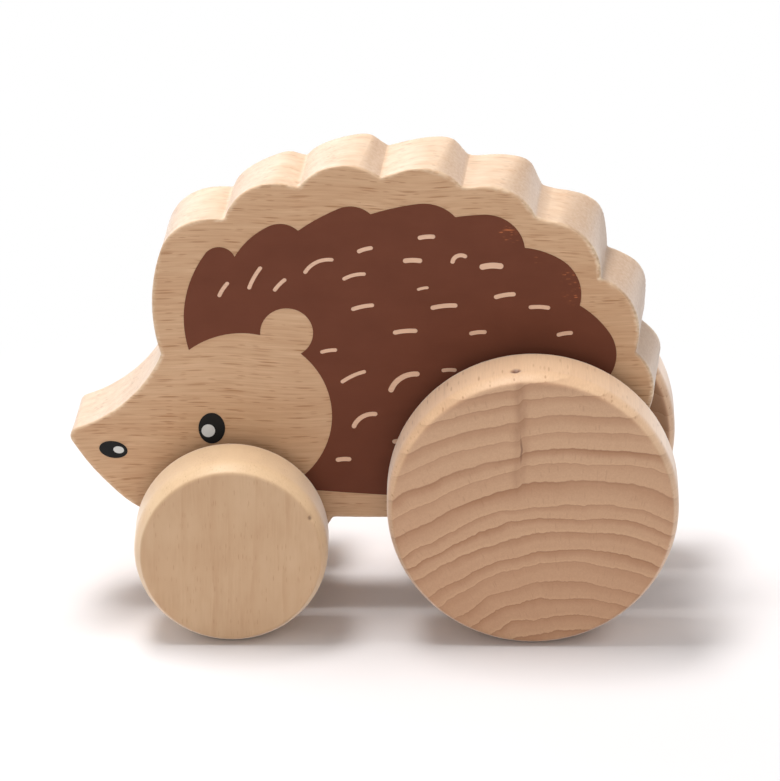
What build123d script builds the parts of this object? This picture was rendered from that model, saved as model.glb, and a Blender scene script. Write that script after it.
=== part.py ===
"""Push-along wooden hedgehog: a scalloped plank on two dowel axles with four turned wheels.

The hedgehog faces -X and stands on the floor at Z = 0, midway between its nose and its last rim.
Its left side faces -Y. Each side carries a printed coat, eye and nose, thin films on the wood.
"""
from build123d import *
import math
import os

# Driving sizes in millimetres: wheels and axles
REAR_WHEEL_DIAMETER = 60.0
FRONT_WHEEL_DIAMETER = 40.0
REAR_WHEEL_EDGE = 1.5        # rounding of the rear rims
FRONT_WHEEL_EDGE = 2.0       # rounding of the front rims
WHEEL_WIDTH = 15.5
WHEEL_FACE_WALL = 5.5        # wood between the axle's socket and the outer face
WHEEL_GAP = 12.0             # between the front and the rear rims
SIDE_PLAY = 3.1              # between a wheel and the plank
AXLE_DIAMETER = 8.0
AXLE_CHAMFER = 0.6
BORE_CLEARANCE = 0.3         # radial, so that an axle turns in the plank
GLUE_CLEARANCE = 0.05        # radial, between an axle and its wheel's socket

# Driving sizes: plank
BODY_THICKNESS = 19.0
BODY_HEIGHT = 78.0           # belly to the top of the back
BODY_EDGE = 1.2              # rounding of the sawn edges
NOTCH_RADIUS = 0.6           # easing of the notches and inner corners
NOSE_OVERHANG = 33.5         # nose tip ahead of the front axle
TAIL_OVERHANG = 25.0         # tail behind the rear axle
BELLY_DROP = 9.2             # belly below the rear axle
BODY_FALL = 1.75             # the outline's fall from nose to tail, over a level belly
NOSE_TIP_RADIUS = 2.0
FOOT_DROP = 9.5              # sole of the front foot below the front axle
FOOT_SOLE_FRONT = 10.8       # sole ahead of the front axle
FOOT_SOLE_REAR = 14.3        # sole behind the front axle
FOOT_FLARE = 12.2            # each end of the foot spreads by this up to the rear axle's height
FOOT_CORNER = 4.0

# Driving sizes: print
INK_THICKNESS = 0.1
DASH_WIDTH = 0.83            # a quill stroke of weight 1
EYE_WIDTH = 5.5
EYE_HEIGHT = 6.8
EYE_GLINT_DIAMETER = 2.8
NOSE_WIDTH = 5.9
NOSE_HEIGHT = 3.7
NOSE_TILT = -10.0            # degrees
NOSE_GLINT_WIDTH = 2.2
NOSE_GLINT_HEIGHT = 1.5

LEFT = (0, -1, 0)

# Headings of the arcs where they leave a point, in degrees from +X towards +Z
MUZZLE_HEADING = 18.0
CHIN_HEADING = -58.0
FOREHEAD_HEADING = 90.0

# Points of the side view, as shares of the plank's length behind the nose tip and of its height
# above the belly
NOSE_TIP_SHARE = 0.219
BELLY_FRONT_SHARE = 0.162
BELLY_REAR_SHARE = 0.858
CHIN_SHARE = (0.083, 0.056)
NECK_SHARE = (0.157, 0.457)
BROW_SHARE = (0.142, 0.600)
FOREHEAD_SHARES = [(0.158, 0.752), (0.203, 0.829), (0.267, 0.842)]
TAIL_NOTCH_SHARE = (0.977, 0.268)
RUMP_SHARES = [(0.983, 0.210), TAIL_NOTCH_SHARE]

# Scallops of the back: a point of the crest, the outline's heading there, and the notch behind it
SCALLOP_SHARES = [
    ((0.373, 0.943), -14.0, (0.393, 0.936)),
    ((0.511, 0.985), -26.0, (0.532, 0.967)),
    ((0.565, 0.985), 20.0, (0.669, 0.946)),
    ((0.691, 0.945), 10.0, (0.795, 0.865)),
    ((0.821, 0.852), -8.0, (0.907, 0.692)),
    ((0.956, 0.633), -58.0, (0.967, 0.485)),
    ((0.996, 0.346), -105.0, TAIL_NOTCH_SHARE),
]

# The coat: its scallops from the forehead to the rump, then the curves of its hem, cheek, ear and crown
COAT_START_SHARE = (0.205, 0.472)
COAT_SCALLOP_SHARES = [
    ((0.234, 0.745), 55.0, (0.284, 0.738)),
    ((0.342, 0.825), 27.0, (0.392, 0.814)),
    ((0.461, 0.878), 24.0, (0.515, 0.864)),
    ((0.595, 0.895), 8.0, (0.659, 0.860)),
    ((0.707, 0.868), 2.0, (0.777, 0.777)),
    ((0.838, 0.746), -32.0, (0.871, 0.617)),
    ((0.923, 0.539), -57.0, (0.918, 0.408)),
    ((0.944, 0.330), -88.0, (0.922, 0.240)),
    ((0.918, 0.155), -95.0, (0.850, 0.066)),
]
COAT_EDGE_SHARES = [
    ((0.543, 0.067), (0.368, 0.083)),
    ((0.449, 0.290), (0.396, 0.467)),
    ((0.398, 0.583), (0.327, 0.518)),
    ((0.275, 0.520), COAT_START_SHARE),
]

# Quill strokes: start, end, bow as a share of the stroke's length, and weight
DASH_SHARES = [
    ((0.256, 0.624), (0.273, 0.667), 0.03, 1.0),
    ((0.307, 0.647), (0.329, 0.712), 0.03, 1.0),
    ((0.350, 0.643), (0.371, 0.679), 0.03, 1.0),
    ((0.401, 0.696), (0.452, 0.737), 0.13, 1.0),
    ((0.492, 0.758), (0.519, 0.771), 0.03, 1.1),
    ((0.467, 0.680), (0.507, 0.697), 0.06, 1.0),
    ((0.482, 0.595), (0.521, 0.609), 0.03, 1.1),
    ((0.595, 0.800), (0.625, 0.805), 0.03, 1.2),
    ((0.570, 0.735), (0.603, 0.736), 0.03, 1.3),
    ((0.651, 0.732), (0.679, 0.753), 0.20, 1.1),
    ((0.594, 0.654), (0.614, 0.661), 0.03, 0.8),
    ((0.617, 0.603), (0.663, 0.612), 0.03, 1.2),
    ((0.553, 0.531), (0.595, 0.538), 0.03, 1.2),
    ((0.683, 0.532), (0.713, 0.538), 0.03, 1.1),
    ((0.700, 0.721), (0.741, 0.725), 0.04, 1.6),
    ((0.725, 0.636), (0.762, 0.647), 0.03, 1.2),
    ((0.784, 0.610), (0.821, 0.609), 0.03, 1.1),
    ((0.832, 0.532), (0.860, 0.540), 0.03, 1.1),
    ((0.429, 0.472), (0.458, 0.480), 0.03, 1.0),
    ((0.464, 0.387), (0.507, 0.421), 0.04, 1.0),
    ((0.546, 0.364), (0.598, 0.419), 0.14, 1.4),
    ((0.483, 0.259), (0.526, 0.302), 0.14, 1.2),
    ((0.455, 0.165), (0.482, 0.168), 0.03, 1.2),
    ((0.636, 0.426), (0.662, 0.428), 0.03, 1.0),
    ((0.552, 0.220), (0.584, 0.224), 0.03, 1.2),
    ((0.722, 0.420), (0.757, 0.430), 0.05, 1.1),
    ((0.800, 0.380), (0.838, 0.384), 0.04, 1.1),
    ((0.660, 0.300), (0.700, 0.318), 0.06, 1.2),
    ((0.760, 0.262), (0.797, 0.266), 0.04, 1.0),
    ((0.850, 0.210), (0.884, 0.208), 0.04, 1.1),
    ((0.690, 0.150), (0.722, 0.154), 0.03, 1.0),
]

# Centres of the face's ovals
EYE_SHARE = (0.243, 0.250)
EYE_GLINT_SHARE = (0.237, 0.243)
NOSE_SHARE = (0.074, 0.184)
NOSE_GLINT_SHARE = (0.083, 0.184)

# Places that follow from the sizes
rear_radius = REAR_WHEEL_DIAMETER / 2
front_radius = FRONT_WHEEL_DIAMETER / 2
wheelbase = front_radius + WHEEL_GAP + rear_radius
body_length = NOSE_OVERHANG + wheelbase + TAIL_OVERHANG
overall_length = NOSE_OVERHANG + wheelbase + max(rear_radius, TAIL_OVERHANG)
nose_x = -overall_length / 2
front_axle_x = nose_x + NOSE_OVERHANG
rear_axle_x = front_axle_x + wheelbase
middle_x = (front_axle_x + rear_axle_x) / 2
belly_z = rear_radius - BELLY_DROP
socket_depth = WHEEL_WIDTH - WHEEL_FACE_WALL
wheel_inner_y = BODY_THICKNESS / 2 + SIDE_PLAY
axle_length = (wheel_inner_y + socket_depth) * 2


def side_point(share):
    """The point of the side view at a pair of shares, on an outline that falls towards the tail."""
    x = nose_x + share[0] * body_length
    rise = (middle_x - x) / body_length * BODY_FALL
    return Vector(x, belly_z + share[1] * BODY_HEIGHT + rise)


def belly_point(share):
    """The point of the belly at a share of the plank's length."""
    return Vector(nose_x + share * body_length, belly_z)


def heading_vector(degrees):
    """The unit vector of a heading in the side view."""
    return Vector(math.cos(math.radians(degrees)), math.sin(math.radians(degrees)))


def arc_run(start, heading, points):
    """Arcs from a start through points, each leaving in the direction in which the last one arrived."""
    arcs = []
    for end in points:
        arcs.append(TangentArc(start, end, tangent=heading))
        start = end
        heading = arcs[-1] % 1
    return arcs


def scallop_arcs(start_share, scallops):
    """Two arcs for each scallop, which meet at its crest and end in the notches beside it."""
    arcs = []
    for crest_share, degrees, notch_share in scallops:
        crest = side_point(crest_share)
        heading = heading_vector(degrees)
        arcs += arc_run(crest, heading * -1, [side_point(start_share)])
        arcs += arc_run(crest, heading, [side_point(notch_share)])
        start_share = notch_share
    return arcs


def nose_arcs():
    """The chin, the rounded tip of the nose and the muzzle, from the belly up to the neck."""
    centre = Vector(nose_x + NOSE_TIP_RADIUS, side_point((0, NOSE_TIP_SHARE)).Y)
    chin_heading = heading_vector(CHIN_HEADING)
    muzzle_heading = heading_vector(MUZZLE_HEADING)
    under = centre + chin_heading.rotate(Axis.Z, -90) * NOSE_TIP_RADIUS
    over = centre + muzzle_heading.rotate(Axis.Z, 90) * NOSE_TIP_RADIUS
    tip = ThreePointArc(under, (nose_x, centre.Y), over)
    chin = arc_run(under, chin_heading, [side_point(CHIN_SHARE), belly_point(BELLY_FRONT_SHARE)])
    return chin + [tip] + arc_run(over, muzzle_heading, [side_point(NECK_SHARE)])


def animal_face():
    """The side view of the hedgehog without its front foot."""
    brow = side_point(BROW_SHARE)
    up = heading_vector(FOREHEAD_HEADING)
    arcs = arc_run(brow, up * -1, [side_point(NECK_SHARE)])
    arcs += arc_run(brow, up, [side_point(share) for share in FOREHEAD_SHARES])
    arcs += scallop_arcs(FOREHEAD_SHARES[-1], SCALLOP_SHARES)
    belly = Line(belly_point(BELLY_FRONT_SHARE), belly_point(BELLY_REAR_SHARE))
    arcs += arc_run(belly @ 1, belly % 1, [side_point(share) for share in RUMP_SHARES])
    return make_face(arcs + [belly] + nose_arcs())


def foot_face():
    """The front foot, which reaches below the belly to carry the front axle."""
    sole_z = front_radius - FOOT_DROP
    front = front_axle_x - FOOT_SOLE_FRONT
    rear = front_axle_x + FOOT_SOLE_REAR
    corners = [
        (front - FOOT_FLARE, rear_radius),
        (front, sole_z),
        (rear, sole_z),
        (rear + FOOT_FLARE, rear_radius),
    ]
    foot = make_face(Polyline(*corners, close=True))
    return fillet(foot.vertices().group_by(Axis.Y)[0], FOOT_CORNER)


def plank_face():
    """The whole side view, grown and shrunk again so that its inner corners are eased."""
    sawn = animal_face() + foot_face()
    return offset(offset(sawn, NOTCH_RADIUS), -NOTCH_RADIUS)


def axle_bore(x, z):
    """The hole through the plank in which an axle turns."""
    bore = Cylinder(AXLE_DIAMETER / 2 + BORE_CLEARANCE, BODY_THICKNESS * 2)
    return Pos(x, 0, z) * Rot(X=90) * bore


def body_plank():
    """The sawn plank, its edges rounded, with both axle bores."""
    left_half = extrude(Plane.XZ * plank_face(), BODY_THICKNESS / 2, dir=LEFT)
    left_side = left_half.faces().sort_by(Axis.Y)[0]
    left_half = fillet(left_side.edges(), BODY_EDGE)
    plank = left_half + mirror(left_half, about=Plane.XZ)
    return plank - axle_bore(front_axle_x, front_radius) - axle_bore(rear_axle_x, rear_radius)


def axle(x, z):
    """A dowel whose ends sit in the sockets of its two wheels."""
    dowel = Cylinder(AXLE_DIAMETER / 2, axle_length)
    dowel = chamfer(dowel.edges().filter_by(GeomType.CIRCLE), AXLE_CHAMFER)
    return Pos(x, 0, z) * Rot(X=90) * dowel


def left_wheel(x, radius, edge):
    """A turned wheel on the left side, with a blind socket in its inner face."""
    disc = Cylinder(radius, WHEEL_WIDTH, align=(Align.CENTER, Align.CENTER, Align.MIN))
    disc = fillet(disc.edges().filter_by(GeomType.CIRCLE), edge)
    socket = Cylinder(
        AXLE_DIAMETER / 2 + GLUE_CLEARANCE, socket_depth, align=(Align.CENTER, Align.CENTER, Align.MIN)
    )
    return Pos(x, -wheel_inner_y, radius) * Rot(X=90) * (disc - socket)


def film(face, layer):
    """A printed film on the left side, on the wood (layer 0) or on another film (layer 1)."""
    ground = Plane.XZ.offset(BODY_THICKNESS / 2 + layer * INK_THICKNESS)
    return extrude(ground * face, INK_THICKNESS, dir=LEFT)


def quill_stroke(start_share, end_share, bow_share, weight):
    """The bare stroke that the coat leaves open for one quill."""
    start = side_point(start_share)
    end = side_point(end_share)
    width = DASH_WIDTH * weight
    chord = end - start
    cap = chord.normalized() * (width / 2)
    middle = (start + end) / 2 + chord.rotate(Axis.Z, 90) * bow_share
    return SlotArc(ThreePointArc(start + cap, middle, end - cap), width)


def coat_face():
    """The coat's outline with its quill strokes left open."""
    edges = scallop_arcs(COAT_START_SHARE, COAT_SCALLOP_SHARES)
    start_share = COAT_SCALLOP_SHARES[-1][-1]
    for middle_share, end_share in COAT_EDGE_SHARES:
        edges.append(ThreePointArc(side_point(start_share), side_point(middle_share), side_point(end_share)))
        start_share = end_share
    strokes = [quill_stroke(*dash) for dash in DASH_SHARES]
    return make_face(edges) - strokes


def oval(share, width, height, tilt):
    """An oval centred at a pair of shares."""
    centre = side_point(share)
    return Pos(centre.X, centre.Y) * Rot(Z=tilt) * Ellipse(width / 2, height / 2)


def left_pieces():
    """The pieces of the left side, each with its twin on the right."""
    return {
        "front_wheel": left_wheel(front_axle_x, front_radius, FRONT_WHEEL_EDGE),
        "rear_wheel": left_wheel(rear_axle_x, rear_radius, REAR_WHEEL_EDGE),
        "coat_print": film(coat_face(), 0) - axle_bore(rear_axle_x, rear_radius),
        "eye_print": film(oval(EYE_SHARE, EYE_WIDTH, EYE_HEIGHT, 0), 0),
        "eye_glint": film(oval(EYE_GLINT_SHARE, EYE_GLINT_DIAMETER, EYE_GLINT_DIAMETER, 0), 1),
        "nose_print": film(oval(NOSE_SHARE, NOSE_WIDTH, NOSE_HEIGHT, NOSE_TILT), 0),
        "nose_glint": film(oval(NOSE_GLINT_SHARE, NOSE_GLINT_WIDTH, NOSE_GLINT_HEIGHT, NOSE_TILT), 1),
    }


def all_pieces():
    """Every piece of the toy by name."""
    pieces = {
        "body_plank": body_plank(),
        "front_axle": axle(front_axle_x, front_radius),
        "rear_axle": axle(rear_axle_x, rear_radius),
    }
    for name, piece in left_pieces().items():
        pieces[name + "_left"] = piece
        pieces[name + "_right"] = mirror(piece, about=Plane.XZ)
    return pieces


os.makedirs("parts", exist_ok=True)
for piece_name, solid in all_pieces().items():
    export_step(solid, os.path.join("parts", piece_name + ".step"))
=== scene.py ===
"""Looks of a push-along beech hedgehog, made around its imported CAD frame.

The hedgehog faces -X and stands on Z = 0. The photographed side is its left, towards -Y.
Meshes are in metres. The patterns of the materials are worked out in millimetres.
"""
import math

import bmesh
import bpy
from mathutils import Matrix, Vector, noise


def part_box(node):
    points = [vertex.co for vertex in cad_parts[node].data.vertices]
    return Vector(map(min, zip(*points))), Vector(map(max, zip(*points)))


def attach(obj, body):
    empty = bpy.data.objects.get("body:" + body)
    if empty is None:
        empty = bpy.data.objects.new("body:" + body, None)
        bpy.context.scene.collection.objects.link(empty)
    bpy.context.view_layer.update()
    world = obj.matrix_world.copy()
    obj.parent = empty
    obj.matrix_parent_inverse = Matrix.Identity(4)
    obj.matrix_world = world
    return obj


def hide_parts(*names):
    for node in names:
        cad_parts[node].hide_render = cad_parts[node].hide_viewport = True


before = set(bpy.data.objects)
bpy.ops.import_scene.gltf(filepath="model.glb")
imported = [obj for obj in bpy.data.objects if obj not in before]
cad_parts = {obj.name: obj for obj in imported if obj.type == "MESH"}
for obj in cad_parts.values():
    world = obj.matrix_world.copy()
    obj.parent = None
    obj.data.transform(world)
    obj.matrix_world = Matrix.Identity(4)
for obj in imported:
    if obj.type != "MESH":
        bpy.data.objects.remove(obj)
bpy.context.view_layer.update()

bl_info = {
    "name": "Beech Hedgehog",
    "version": (1, 0, 0),
    "blender": (4, 5, 0),
    "location": "View3D > Sidebar > Hedgehog",
    "description": "Dresses the CAD model of a push-along wooden hedgehog",
    "category": "Object",
}

MM = 0.001
# Points of a CAD mesh, or of a turned wheel's seams, that are nearer than this are one point
WELD = 1e-7
WHEEL_WELD = 1e-6
# Which way along Y each side lies
SIDES = {"left": -1, "right": 1}


def linear(hex_colour):
    """The linear RGBA of an sRGB hex colour."""
    channels = [int(hex_colour[i:i + 2], 16) / 255 for i in (1, 3, 5)]
    return tuple(c / 12.92 if c <= 0.04045 else ((c + 0.055) / 1.055) ** 2.4 for c in channels) + (1.0,)


def colour(name, hex_colour, description):
    """A colour that the user can change."""
    return bpy.props.FloatVectorProperty(
        name=name, description=description, subtype="COLOR", size=4, min=0, max=1, default=linear(hex_colour)
    )


def length(name, millimetres, description):
    """A length that the user can change."""
    return bpy.props.FloatProperty(
        name=name, description=description, default=millimetres * MM, min=0, unit="LENGTH", precision=5
    )


def angle(name, degrees, description):
    """An angle that the user can change."""
    return bpy.props.FloatProperty(
        name=name, description=description, default=math.radians(degrees), subtype="ANGLE"
    )


class HedgehogSizes(bpy.types.PropertyGroup):
    """Sizes of the sawn and turned wood that the CAD frame doesn't give."""

    plank_edge: length("Plank edge", 0.5, "Mean rounding of the plank's sanded edges")
    edge_wander: length("Edge wander", 0.25, "How far the hand-sanded rounding wanders")
    flank_wander: length("Flank wander", 0.08, "How far sanding has dished the sawn flank")
    flank_fuzz: length("Flank fuzz", 0.05, "How far the saw has torn the end grain of the flank")
    saw_lean: angle("Saw lean", 4.5, "How far the saw leaned towards the tail as it cut the outline")
    crest_lean: angle("Crest lean", 8.0, "How much further it leaned over the crest of each scallop")
    plank_step: length("Plank step", 0.4, "Mesh step along and across the plank's flank")
    front_shoulder: length("Front shoulder", 1.5, "How deep the front wheels' rims are eased at their faces")
    rear_shoulder: length("Rear shoulder", 1.25, "How deep the rear wheels' rims are eased at their faces")
    shoulder_slope: angle("Shoulder slope", 27.0, "Slope of the eased shoulder against the tread")
    shoulder_round: length("Shoulder rounding", 5.5, "Rounding between a tread and its shoulder")
    wheel_edge: length("Wheel edge", 0.8, "Rounding of the edge between a shoulder and a face")
    tread_wander: length("Tread wander", 0.05, "How far a turned tread is out of true")
    wheel_step: length("Wheel step", 0.36, "Mesh step along a wheel's profile")
    wheel_turn: length("Wheel turn", 0.65, "Mesh step round a wheel")


class HedgehogWood(bpy.types.PropertyGroup):
    """Tones of the unvarnished beech, some of them with painted light and shade in them."""

    plank_light: colour("Plank light", "#DCB893", "Pale wood of the plank")
    plank_shade: colour("Plank shade", "#C69B74", "Darker bands of the plank")
    fleck: colour("Fleck", "#96622F", "Short dark flecks along the grain")
    # Darker end grain, laid only on flanks that face the tail: partly real end grain, partly painted shade on
    # the side turned from the light
    torn: colour("Torn end grain", "#AD8866", "End grain torn by the saw")
    # Paler nap of the flank: partly sawn fuzz, partly painted sheen
    sawn: colour("Sawn flank", "#E0C9AF", "Fuzzed fibres that the saw has left on the plank's flank")
    chipped: colour("Chipped edge", "#E9D2B3", "Fresh wood of the small chips along the plank's edges")
    stroke: colour("Quill strokes", "#EDC3A8", "Bare wood that the print has kept pale")
    front_light: colour("Front wheel light", "#CCAA86", "Pale wood of the front wheels")
    front_shade: colour("Front wheel shade", "#BC956F", "Growth lines of the front wheels")
    # Paler tone of the front tread: partly its smoother wood, partly painted light standing in for light from
    # above
    front_tread_and_light: colour("Front wheel tread", "#DDBC94", "Smooth tread of the front wheels")
    rear_light: colour("Rear wheel early wood", "#C9A17F", "Pale early wood of the rear wheels")
    rear_heart: colour("Rear wheel heart side", "#B98A67", "Redder wood towards the pith of the rear wheels")
    rear_shade: colour("Rear wheel late wood", "#A3724E", "Late wood below each ring of the rear wheels")
    rear_line: colour("Rear wheel ring line", "#8E6242", "Thin line where a growth ring ends")
    # Paler tone of the rear tread: partly its smoother wood, partly painted light standing in for light from
    # above
    rear_tread_and_light: colour("Rear wheel tread", "#D9B38D", "Smooth tread of the rear wheels")
    # Dark tone of the wheels' inner faces: painted shade where they face the plank
    inner_face_shade: colour("Raw wood", "#85603F", "Unsanded wood of the wheels' inner faces")
    knot: colour("Knot", "#5E2F12", "Small knots and torn chips")


class HedgehogPrint(bpy.types.PropertyGroup):
    """Tones of the printing inks."""

    brown: colour("Coat brown", "#713F2C", "Ink of the quill coat")
    brown_deep: colour("Coat deep brown", "#673826", "Ink of the coat where it lies thicker")
    scuff: colour("Scuffed coat", "#B0653F", "Coat where handling has rubbed it thin")
    black: colour("Black", "#1E1D1D", "Ink of the eye and nose")
    black_deep: colour("Deep black", "#0F1010", "Ink of the eye and nose where it lies thicker")
    pale: colour("Pale grey", "#DCDEDC", "Ink of the glints")
    pale_deep: colour("Deep pale grey", "#CED0CE", "Ink of the glints where it lies thicker")


class HedgehogStage(bpy.types.PropertyGroup):
    """The studio: floor, light and camera."""

    floor: colour("Floor", "#E8E4E4", "Plain pale floor")
    azimuth: angle("Azimuth", 0.5, "Camera's way round from the left side")
    elevation: angle("Elevation", 22.4, "Camera's height above the horizon")
    distance: length("Distance", 1800.0, "Camera's distance from its aim")
    aim: bpy.props.FloatVectorProperty(
        name="Aim", description="Point at the middle of the picture", subtype="XYZ",
        default=(0.00322, 0.0, 0.04541),
    )
    lens: bpy.props.FloatProperty(
        name="Focal length", description="Focal length on a 36 mm sensor", default=400.6, unit="CAMERA"
    )


class HedgehogSettings(bpy.types.PropertyGroup):
    """All settings of the hedgehog."""

    sizes: bpy.props.PointerProperty(type=HedgehogSizes)
    wood: bpy.props.PointerProperty(type=HedgehogWood)
    prints: bpy.props.PointerProperty(type=HedgehogPrint)
    stage: bpy.props.PointerProperty(type=HedgehogStage)


def add_node(tree, kind, sockets=None, **settings):
    """Adds a node with its settings. Each named or numbered socket takes a value or a link.

    A link comes from a socket, or from a node's first output.
    """
    added = tree.nodes.new(kind)
    for name, value in settings.items():
        setattr(added, name, value)
    for key, value in (sockets or {}).items():
        if isinstance(value, bpy.types.Node):
            value = value.outputs[0]
        if isinstance(value, bpy.types.NodeSocket):
            tree.links.new(value, added.inputs[key])
        else:
            added.inputs[key].default_value = value
    return added


# Raw sanded wood: the fine fuzz of its fibres turns pale where it is seen or lit at a slant
RAW_WOOD = {"IOR": 1.5, "Sheen Weight": 0.5, "Sheen Roughness": 0.4}
# Matt printing ink: nearly no gloss
MATT_INK = {"IOR": 1.48, "Specular IOR Level": 0.2}
RELIEF_STRENGTH = 0.5
# Share of its reach over which a fleck or a streak has its full strength
FLECK_CORE = 0.4
STREAK_CORE = 0.2


def start_material(name, constants, centre=(0, 0, 0), turn=(0, 0, 0)):
    """A material with its shader's constants, and its pattern's coordinates in mm about a centre."""
    material = bpy.data.materials.new(name)
    material.use_nodes = True
    tree = material.node_tree
    tree.nodes.clear()
    shader = add_node(tree, "ShaderNodeBsdfPrincipled", constants)
    add_node(tree, "ShaderNodeOutputMaterial", {"Surface": shader})
    seat = add_node(tree, "ShaderNodeTexCoord").outputs["Object"]
    centred = add_node(
        tree, "ShaderNodeMapping",
        {"Vector": seat, "Location": [-c / MM for c in centre], "Scale": (1 / MM, 1 / MM, 1 / MM)},
    )
    turned = add_node(tree, "ShaderNodeMapping", {"Vector": centred, "Rotation": turn})
    return material, tree, shader, turned


def overlap(tree, *patterns):
    """A pattern that shows only where all these show: the product of their strengths."""
    shown, *others = patterns
    for other in others:
        shown = add_node(tree, "ShaderNodeMath", {0: shown, 1: other}, operation="MULTIPLY")
    return shown


def figure(tree, grain, cell, spread, most=1.0, detail=2.0):
    """Noise in cells of a real size (mm), opened out about its middle to 0..most."""
    cells = add_node(tree, "ShaderNodeVectorMath", {0: grain, 1: cell}, operation="DIVIDE")
    waves = add_node(tree, "ShaderNodeTexNoise", {"Vector": cells, "Scale": 1.0, "Detail": detail})
    return add_node(
        tree, "ShaderNodeMapRange",
        {"Value": waves, "From Min": 0.5 - spread, "From Max": 0.5 + spread, "To Max": most},
    )


def flecks(tree, grain, cell, reach, share, most):
    """Lens-shaped marks, at most one in each cell of a real size (mm), in a share of the cells.

    A mark's reach is counted in cells, and its strength lies between 0 and most.
    """
    cells = add_node(tree, "ShaderNodeVectorMath", {0: grain, 1: cell}, operation="DIVIDE")
    spots = add_node(tree, "ShaderNodeTexVoronoi", {"Vector": cells, "Scale": 1.0}).outputs
    mark = add_node(
        tree, "ShaderNodeMapRange",
        {"Value": spots["Distance"], "From Min": reach, "From Max": reach * FLECK_CORE},
        interpolation_type="SMOOTHSTEP",
    )
    chance = add_node(tree, "ShaderNodeSeparateColor", {"Color": spots["Color"]}).outputs["Red"]
    strength = add_node(
        tree, "ShaderNodeMapRange", {"Value": chance, "From Min": 1 - share, "From Max": 1.0, "To Max": most}
    )
    return overlap(tree, mark, strength)


def spot(tree, at, place, inner, outer, most):
    """A soft round mark of one strength about a place (mm)."""
    away = add_node(tree, "ShaderNodeVectorMath", {0: at, 1: place}, operation="DISTANCE").outputs["Value"]
    return add_node(
        tree, "ShaderNodeMapRange", {"Value": away, "From Min": outer, "From Max": inner, "To Max": most},
        interpolation_type="SMOOTHSTEP",
    )


def streak(tree, at, place, size, most):
    """A soft long mark of one strength about a place, with a half size along each axis (mm)."""
    at = add_node(tree, "ShaderNodeVectorMath", {0: at, 1: size}, operation="DIVIDE")
    return spot(tree, at, [p / s for p, s in zip(place, size)], inner=STREAK_CORE, outer=1.0, most=most)


def growth_rings(tree, depth, spacing):
    """Rings of a spacing (mm) along a depth: each point's share of its ring, and a chance for each ring."""
    count = add_node(tree, "ShaderNodeMath", {0: depth, 1: spacing}, operation="DIVIDE")
    phase = add_node(tree, "ShaderNodeMath", {0: count}, operation="FRACT")
    number = add_node(tree, "ShaderNodeMath", {0: count}, operation="FLOOR")
    chance = add_node(tree, "ShaderNodeTexWhiteNoise", {"W": number}, noise_dimensions="1D")
    return phase, chance


def lay_finish(tree, shader, tone, stains, roughness, reliefs, depth):
    """Lays stains over a ground tone, and links the tone, the roughness and the relief (mm) to the shader."""
    for amount, stain in stains:
        tone = add_node(tree, "ShaderNodeMix", {0: amount, 6: tone, 7: stain}, data_type="RGBA").outputs[2]
    pattern, smooth, rough = roughness
    matt = add_node(tree, "ShaderNodeMapRange", {"Value": pattern, "To Min": smooth, "To Max": rough})
    height = 0.0
    for pattern, weight in reliefs:
        height = add_node(
            tree, "ShaderNodeMath", {0: pattern, 1: weight, 2: height}, operation="MULTIPLY_ADD"
        )
    relief = add_node(
        tree, "ShaderNodeBump", {"Strength": RELIEF_STRENGTH, "Distance": depth * MM, "Height": height}
    )
    tree.links.new(tone, shader.inputs["Base Color"])
    tree.links.new(matt.outputs["Result"], shader.inputs["Roughness"])
    tree.links.new(relief.outputs["Normal"], shader.inputs["Normal"])


# Attributes of the plank's skin: how far it is cut across the grain on flanks that face the tail, where its
# darker tone is partly painted shade, is sawn flank, and is worn edge
SKIN = ("end_grain_and_shade", "sawn", "worn_edge")
# How far (mm) the plank's grain drifts off a straight line, and over what length
DRIFT = (0, 5, 5)
DRIFT_LENGTH = 38


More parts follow.
